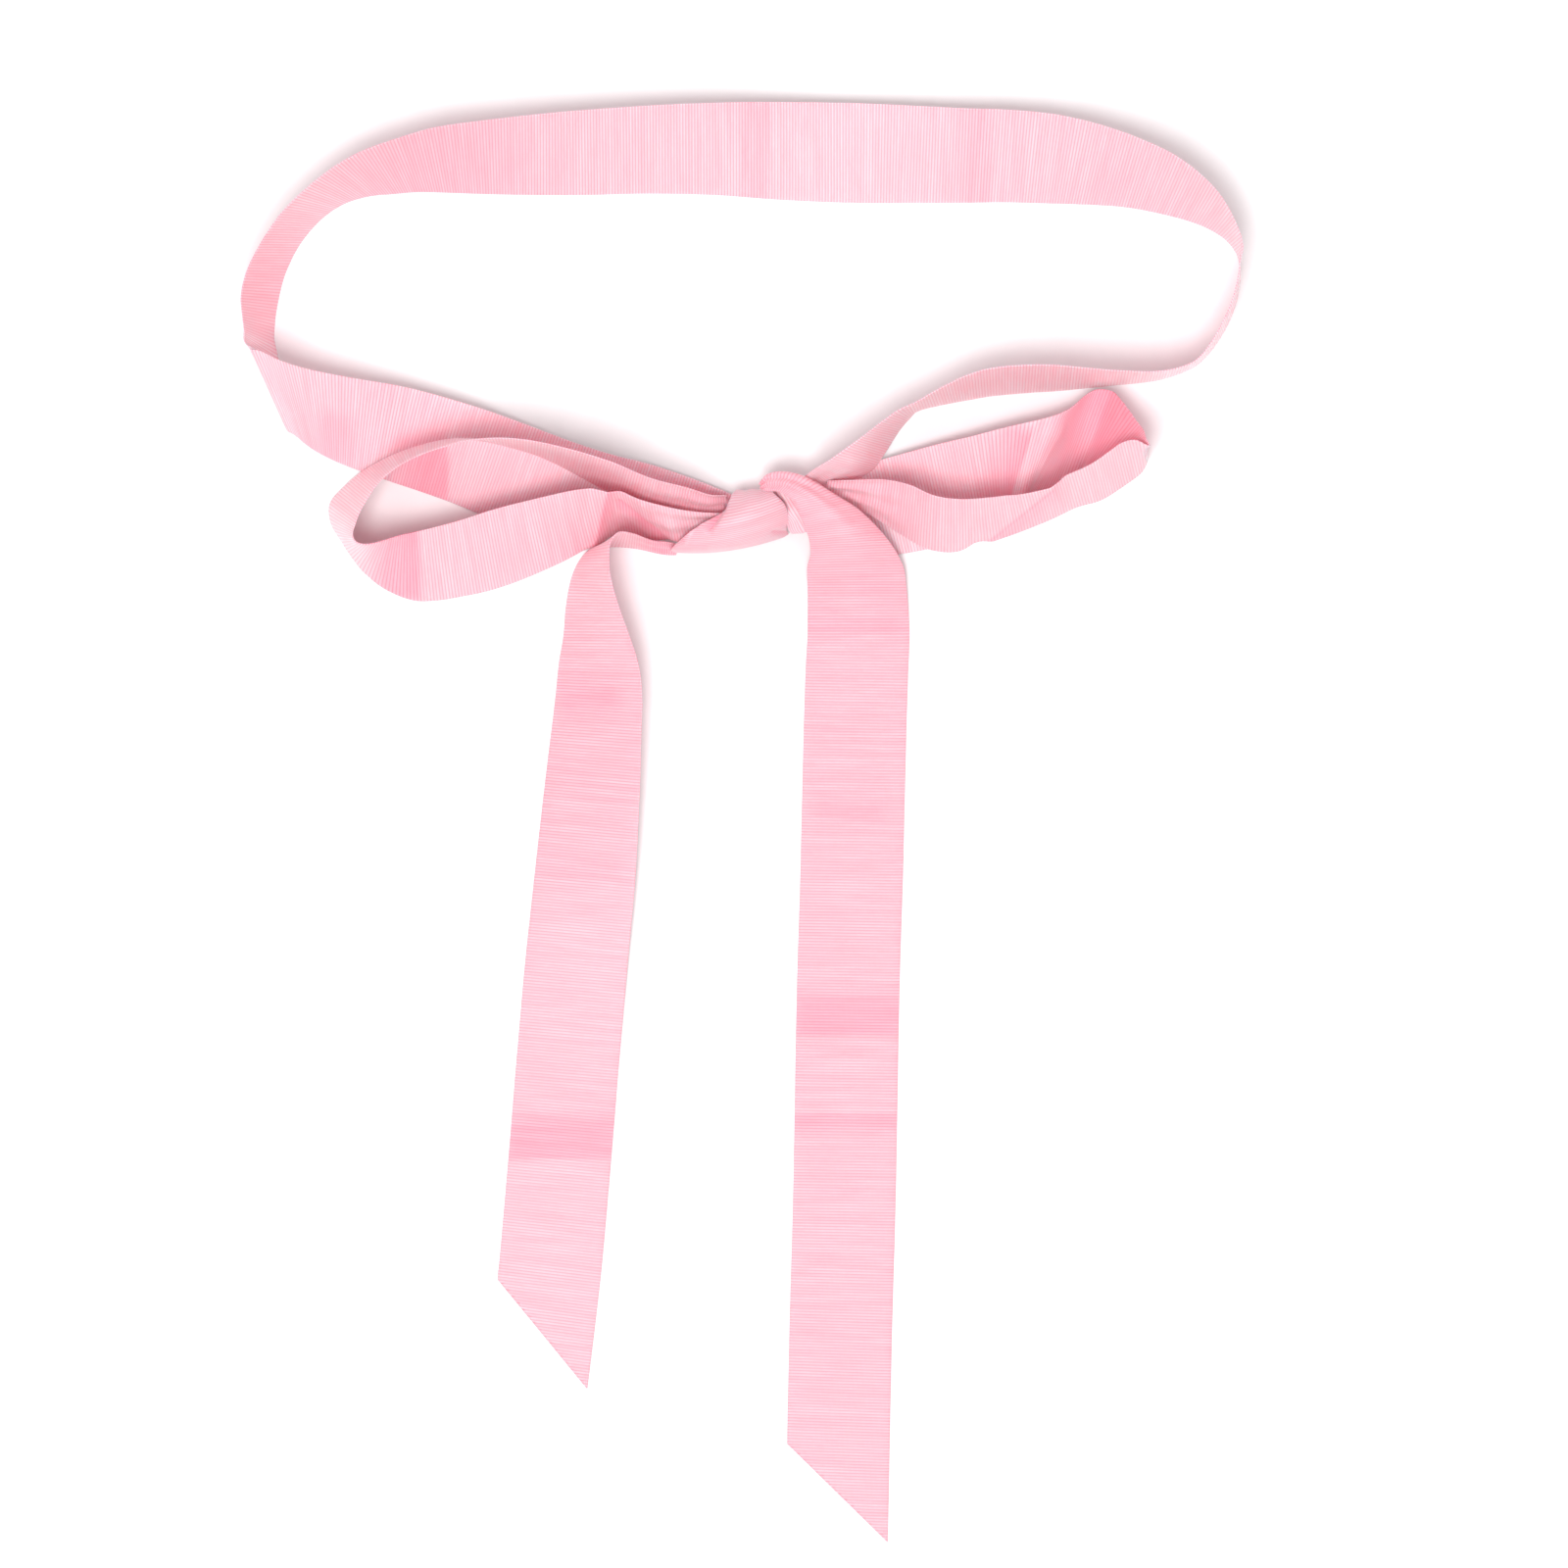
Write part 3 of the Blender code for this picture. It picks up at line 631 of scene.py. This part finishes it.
# %% [markdown]
# The cloth's pattern is drawn from the attribute in millimetres. The furrows between the ribs
# are painted darker and pinker than the rib tops, as painted shade, each rib differs slightly from
# the next as real weft cords do, and fine warp threads run over them. Warp threads are near 0.2 mm
# apart, which is too fine to show, so they are drawn at 0.45 mm. The painted shade of whole
# pieces, the press marks and the patches of painted shade are tinted by a multiplying mix, so the
# ribs still show in them. A Mix node for colours has its factor at input 0 and its two colours at
# inputs 6 and 7.
# Polyester's IOR is near 1.6: the shader keeps its 1.5, with its specular level raised to match.
# Light goes under a millimetre into the cloth, which is what the subsurface scale says.

# %% The grosgrain material
THREAD_DRAWN = 0.45         # from one drawn warp thread to the next, in mm
CREST_BREADTH = 0.6         # a power below 1 makes the light tops broader than the furrows
COLOUR_RUNS = 0.03          # how quickly a rib's own colour changes along it, for each mm
RIB_STEPS = 0.45            # how far one rib's colour lies from the next, in noise cells
UNEVEN_MOST = 0.35
WEAVE_DEPTH = 0.06 * MM
# Tints for painted shade: one for whole pieces, one for press marks and patches of painted shade.
PAINTED_SHADE_TINT = "#FBDCE3"
PRESS_AND_SHADE_TINT = "#FED8E2"


def tinted(tree, share, colour, tint):
    """The colour, multiplied by a tint by this share."""
    mix = add_node(tree, "ShaderNodeMix", {"data_type": "RGBA", "blend_type": "MULTIPLY"},
                   i0=share, i6=colour, i7=(*linear(tint), 1))
    return mix.outputs[2]


def grosgrain(name, lit_crest, shaded_furrow, uneven_tone):
    material = bpy.data.materials.new(name)
    material.use_nodes = True
    tree = material.node_tree
    shader = tree.nodes["Principled BSDF"]
    place = add_node(tree, "ShaderNodeAttribute", {"attribute_name": "ribbon_mm"})
    parts = add_node(tree, "ShaderNodeSeparateXYZ", i0=place.outputs["Vector"])
    across, way, mark = parts.outputs

    turns = add_node(tree, "ShaderNodeMath", {"operation": "MULTIPLY"},
                     i0=way, i1=math.pi / RIB_PITCH)
    swing = add_node(tree, "ShaderNodeMath", {"operation": "SINE"}, i0=turns.outputs[0])
    cord = add_node(tree, "ShaderNodeMath", {"operation": "ABSOLUTE"}, i0=swing.outputs[0])
    crown = add_node(tree, "ShaderNodeMath", {"operation": "POWER"},
                     i0=cord.outputs[0], i1=CREST_BREADTH)

    slow_across = add_node(tree, "ShaderNodeMath", {"operation": "MULTIPLY"},
                           i0=across, i1=COLOUR_RUNS)
    quick_along = add_node(tree, "ShaderNodeMath", {"operation": "MULTIPLY"},
                           i0=way, i1=RIB_STEPS / RIB_PITCH)
    rib_place = add_node(tree, "ShaderNodeCombineXYZ",
                         i0=slow_across.outputs[0], i1=quick_along.outputs[0])
    uneven = add_node(tree, "ShaderNodeTexNoise", {"noise_dimensions": "2D"},
                      Vector=rib_place.outputs[0], Scale=1.0, Detail=2.0)

    threads = add_node(tree, "ShaderNodeMath", {"operation": "MULTIPLY"},
                       i0=across, i1=2 * math.pi / THREAD_DRAWN)
    thread = add_node(tree, "ShaderNodeMath", {"operation": "SINE"}, i0=threads.outputs[0])

    # Painted shade between the ribs: the furrows get a darker colour than the rib tops.
    painted_rib_shade = add_node(tree, "ShaderNodeMix", {"data_type": "RGBA"},
                           i0=crown.outputs[0], i6=(*linear(shaded_furrow), 1), i7=(*linear(lit_crest), 1))
    share = add_node(tree, "ShaderNodeMapRange", {}, i0=uneven.outputs[0],
                     i1=0.3, i2=0.7, i3=0.0, i4=UNEVEN_MOST)
    uneven_colour = add_node(tree, "ShaderNodeMix", {"data_type": "RGBA"}, i0=share.outputs[0],
                             i6=painted_rib_shade.outputs[2], i7=(*linear(uneven_tone), 1))
    piece_shade_share = add_node(tree, "ShaderNodeAttribute", {"attribute_name": "painted_piece_shade"})
    # Painted shade of the whole piece: its colour is tinted darker and pinker.
    piece_shaded_colour = tinted(tree, piece_shade_share.outputs["Fac"], uneven_colour.outputs[2], PAINTED_SHADE_TINT)
    # Press marks and painted shade: the marked share of the cloth is tinted darker and pinker.
    tree.links.new(tinted(tree, mark, piece_shaded_colour, PRESS_AND_SHADE_TINT), shader.inputs["Base Color"])

    rough = add_node(tree, "ShaderNodeMapRange", {}, i0=mark, i3=0.5, i4=0.62)
    tree.links.new(rough.outputs[0], shader.inputs["Roughness"])
    weave = add_node(tree, "ShaderNodeMath", {"operation": "MULTIPLY"},
                     i0=thread.outputs[0], i1=cord.outputs[0])
    bump = add_node(tree, "ShaderNodeBump", Strength=0.25, Distance=WEAVE_DEPTH,
                    Height=weave.outputs[0])
    tree.links.new(bump.outputs[0], shader.inputs["Normal"])
    shader.inputs["Subsurface Weight"].default_value = 0.8
    shader.inputs["Subsurface Radius"].default_value = (1.0, 0.45, 0.5)
    shader.inputs["Subsurface Scale"].default_value = 0.8 * MM
    shader.inputs["Specular IOR Level"].default_value = 0.6
    shader.inputs["Sheen Weight"].default_value = 0.25
    shader.inputs["Sheen Roughness"].default_value = 0.45
    return material


ribbon_cloth = grosgrain("pink_polyester_grosgrain", "#FAD8DF", "#EA8CA1", "#F5A8B7")
# The same grosgrain in darker pinks: painted shade for the turns inside the knot.
shaded_core_cloth = grosgrain("pink_grosgrain_in_painted_knot_shade", "#F2A4B9", "#E48AA3", "#E892AA")
print("materials:", ribbon_cloth.name, shaded_core_cloth.name)

# %% [markdown]
# Each length of ribbon becomes a piece that stands for its solids. A tail is cut along a slanted
# line before it gets its thickness, with the same cutting tool that a modeller uses by hand, and
# the lengths of its two edges up to the cut give its flat size. A Solidify modifier then gives the
# cloth its two faces and its edges.

# %% Making a piece
def slant_cut(mesh, cut):
    start, end = [Vector((x - ORIGIN[0], y - ORIGIN[1], 0.0)) * MM for x, y in cut]
    beyond = (end - start).cross(Vector((0.0, 0.0, 1.0)))
    if beyond.y > 0:
        beyond.negate()
    cloth = bmesh.new()
    cloth.from_mesh(mesh)
    bmesh.ops.bisect_plane(cloth, geom=cloth.verts[:] + cloth.edges[:] + cloth.faces[:],
                           plane_co=start, plane_no=beyond, clear_outer=True)
    cloth.to_mesh(mesh)
    cloth.free()
    mesh.shade_smooth()


def lengths_to_cut(points, way, cut):
    """How long each of the two woven edges is, up to a slanted cut."""
    (x0, y0), (x1, y1) = cut
    edges = points[:, [0, -1], :2] + np.array(ORIGIN)
    beyond = (edges[:, :, 0] - x0) * (y1 - y0) - (edges[:, :, 1] - y0) * (x1 - x0)
    return [way[beyond[:, side] <= 0, side].max() for side in (0, 1)]


def ribbon_piece(name, stretches, seed, strips=16, cut=None, smile=0.0,
                 pleat_depth=PLEAT_DEPTH):
    points, cut_mm, painted_piece_shade, length = stretch_points(stretches, seed, strips, smile, pleat_depth)
    mesh = grid_mesh("ribbon_" + name, points, cut_mm, painted_piece_shade)
    edge_lengths = [length, length]
    if cut:
        edge_lengths = lengths_to_cut(points, cut_mm[:, [0, -1], 1], cut)
        slant_cut(mesh, cut)
    mesh.materials.append(ribbon_cloth)
    piece = bpy.data.objects.new("ribbon_" + name, mesh)
    bpy.context.scene.collection.objects.link(piece)
    cloth = piece.modifiers.new("cloth", "SOLIDIFY")
    cloth.thickness = CLOTH * MM
    cloth.offset = 0.0
    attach(piece, "root")
    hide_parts(*stretches)
    print("%-10s %4.0f and %4.0f mm of ribbon along its edges, %d faces"
          % (name, *edge_lengths, len(mesh.polygons)))
    flat = (RIBBON_WIDTH * MM, max(edge_lengths) * MM)
    return piece, {"flat": flat, "area": flat[0] * sum(edge_lengths) / 2 * MM}


# %% [markdown]
# The waist loop is one piece: up from the knot on the right, round the back and down to the knot
# on the left. Each solid's rows keep their own name, for its press marks, painted shade and
# creases.

# %% The waist loop
waist, cut_size = ribbon_piece("waist", {"waist_right": turned(WAIST_RIGHT, -180),
                                         "waist_back": WAIST_BACK,
                                         "waist_left": WAIST_LEFT}, seed=0.4, strips=14)

# %% The bow's two loops
bow_left, cut_size = ribbon_piece("bow_left", {"bow_left_back": BOW_LEFT_BACK,
                                               "bow_left_front": BOW_LEFT_FRONT},
                                  seed=1.3, strips=28)
bow_right, cut_size = ribbon_piece("bow_right", {"bow_right_back": BOW_RIGHT_BACK,
                                                 "bow_right_front": turned(BOW_RIGHT_FRONT)},
                                   seed=2.1, strips=28)

# %% The knot and the tails
knot_wrap, _ = ribbon_piece("knot_wrap", {"knot_wrap": KNOT_WRAP}, seed=3.0, strips=60,
                            smile=1.9, pleat_depth=0.3)
knot_tuck, _ = ribbon_piece("knot_tuck", {"knot_tuck": KNOT_TUCK}, seed=4.2)
tail_left, cut_size = ribbon_piece("tail_left", {"tail_left": TAIL_LEFT}, seed=5.0,
                                   cut=CUT_LEFT)
tail_right, cut_size = ribbon_piece("tail_right", {"tail_right": TAIL_RIGHT}, seed=5.8,
                                    cut=CUT_RIGHT)

# %% [markdown]
# Inside the knot the ribbon is wound on itself. Only slivers of it show, so these turns are one
# small rounded bundle with the ribbon's own ribs, in a darker pink copy of its material: painted
# shade for the inside of the knot.

# %% The turns inside the knot
BUNDLE_FIT = 0.98           # a little inside its solid
TURN_COUNT, TURN_DEPTH, TURN_TWIST = 7, 0.03, 3


def knot_bundle(solid):
    low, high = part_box(solid)
    centre, half = (low + high) / 2, (high - low) / 2
    bundle = bmesh.new()
    layer = bundle.verts.layers.float_vector.new("ribbon_mm")
    bmesh.ops.create_uvsphere(bundle, u_segments=96, v_segments=48, radius=1.0)
    for point in bundle.verts:
        turn = math.atan2(point.co.z, point.co.y)
        fold = 1 + TURN_DEPTH * math.sin(TURN_COUNT * turn + TURN_TWIST * point.co.x)
        point[layer] = (point.co.x * half.x / MM + RIBBON_WIDTH / 2, turn * half.z / MM, 0.0)
        point.co = centre + Vector([point.co[i] * half[i] * fold * BUNDLE_FIT
                                    for i in range(3)])
    mesh = bpy.data.meshes.new("ribbon_knot_inside")
    bundle.to_mesh(mesh)
    bundle.free()
    mesh.shade_smooth()
    mesh.materials.append(shaded_core_cloth)
    piece = bpy.data.objects.new("ribbon_knot_inside", mesh)
    bpy.context.scene.collection.objects.link(piece)
    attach(piece, "root")
    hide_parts(solid)
    return piece


knot_inside = knot_bundle("knot_core")
print("knot inside: %d faces" % len(knot_inside.data.polygons))

# %% [markdown]
# The photograph looks straight down from far away, so the camera stands 4 m up with a long lens.
# One pixel of its 1600 is 0.3636 mm on the table.

# %% Camera
PIXEL = 0.3636 * MM
PHOTO_WIDTH = 1600
PHOTO_MIDDLE = (16.0, 14.2)     # the table's point under the photograph's middle
HEIGHT = 4.0
camera_data = bpy.data.cameras.new("camera")
camera_data.sensor_width = 36.0
camera_data.lens = camera_data.sensor_width * HEIGHT / (PHOTO_WIDTH * PIXEL)
camera_data.clip_end = 20.0
camera = bpy.data.objects.new("camera", camera_data)
camera.location = ((PHOTO_MIDDLE[0] - ORIGIN[0]) * MM, (PHOTO_MIDDLE[1] - ORIGIN[1]) * MM,
                   HEIGHT)
bpy.context.scene.collection.objects.link(camera)
bpy.context.scene.camera = camera
print("lens: %.1f mm" % camera_data.lens)

# %% [markdown]
# A plain white table, one large soft light that hangs nearly overhead, and an even white surround
# that fills the shadows. The standing bands then shade softly, as in the picture.

# %% Table and light
ROOM_BRIGHTNESS = 0.72
TABLE_DROP = 0.2 * MM       # the table lies just under the cloth, so that no faces coincide


def table_top():
    top = bmesh.new()
    bmesh.ops.create_grid(top, x_segments=1, y_segments=1, size=4.0)
    mesh = bpy.data.meshes.new("floor")
    top.to_mesh(mesh)
    top.free()
    paper = bpy.data.materials.new("white_paper_sweep")
    paper.use_nodes = True
    shader = paper.node_tree.nodes["Principled BSDF"]
    grain = add_node(paper.node_tree, "ShaderNodeTexNoise", Scale=900.0, Detail=3.0)
    tone = add_node(paper.node_tree, "ShaderNodeMix", {"data_type": "RGBA"},
                    i0=grain.outputs[0], i6=(*linear("#F4F4F4"), 1), i7=(*linear("#F8F8F8"), 1))
    paper.node_tree.links.new(tone.outputs[2], shader.inputs["Base Color"])
    shader.inputs["Roughness"].default_value = 0.9
    mesh.materials.append(paper)
    floor = bpy.data.objects.new("floor", mesh)
    floor.location.z = -TABLE_DROP
    bpy.context.scene.collection.objects.link(floor)


def soft_light(name, place, size, watts, aim=(0.0, 0.05, 0.0)):
    light = bpy.data.lights.new(name, "AREA")
    light.size = size
    light.energy = watts
    lamp = bpy.data.objects.new(name, light)
    lamp.location = place
    lamp.rotation_euler = (Vector(aim) - Vector(place)).to_track_quat("-Z", "Y").to_euler()
    bpy.context.scene.collection.objects.link(lamp)


table_top()
soft_light("key", place=(-0.4, -0.9, 4.5), size=1.4, watts=140.0)
world = bpy.data.worlds.new("white_room")
world.use_nodes = True
surround = world.node_tree.nodes["Background"]
surround.inputs["Color"].default_value = (1.0, 1.0, 1.0, 1.0)
surround.inputs["Strength"].default_value = ROOM_BRIGHTNESS
bpy.context.scene.world = world
bpy.context.scene.view_settings.view_transform = "Standard"
